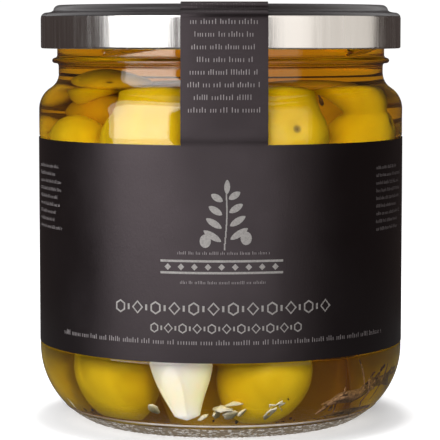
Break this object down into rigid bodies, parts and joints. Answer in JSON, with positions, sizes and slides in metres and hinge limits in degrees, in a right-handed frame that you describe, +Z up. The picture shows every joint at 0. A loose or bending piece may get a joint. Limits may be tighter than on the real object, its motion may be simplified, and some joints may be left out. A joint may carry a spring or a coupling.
{
  "type": "sealed glass jar of green olives in oil",
  "caption": "Sealed clear glass jar of green olives and garlic in golden oil, with a metal twist-off lid and a dark paper label whose strip runs up over the lid.",
  "frame": {"origin": "centre of the underside of the jar, on the surface it stands on", "axes": "+Z up along the jar's axis, front of the label towards -Y, +X to the right seen from the front"},
  "size_m": [0.0862, 0.0865, 0.0984],
  "materials": {
    "jar_glass": "clear polished glass, stippled on the foot ring",
    "lid_metal": "bright lacquered tinplate skirt with fine vertical scratches",
    "lid_lacquer": "dark charcoal lacquer on the corner, raised ring and top of the lid",
    "label_paper": "matte black uncoated paper",
    "label_print": "pale matte ink",
    "olive_oil": "clear golden liquid",
    "olive_skin": "smooth wet yellow-green olive skin",
    "garlic_flesh": "smooth cream garlic flesh",
    "dried_herb": "oil-soaked brown rosemary and spice flakes"
  },
  "bodies": {
    "root": {"glass_jar": "jar_glass", "lid": "lid_metal", "label": "label_paper", "oil": "olive_oil", "olives": "olive_skin", "garlic_clove": "garlic_flesh"}
  },
  "joints": []
}
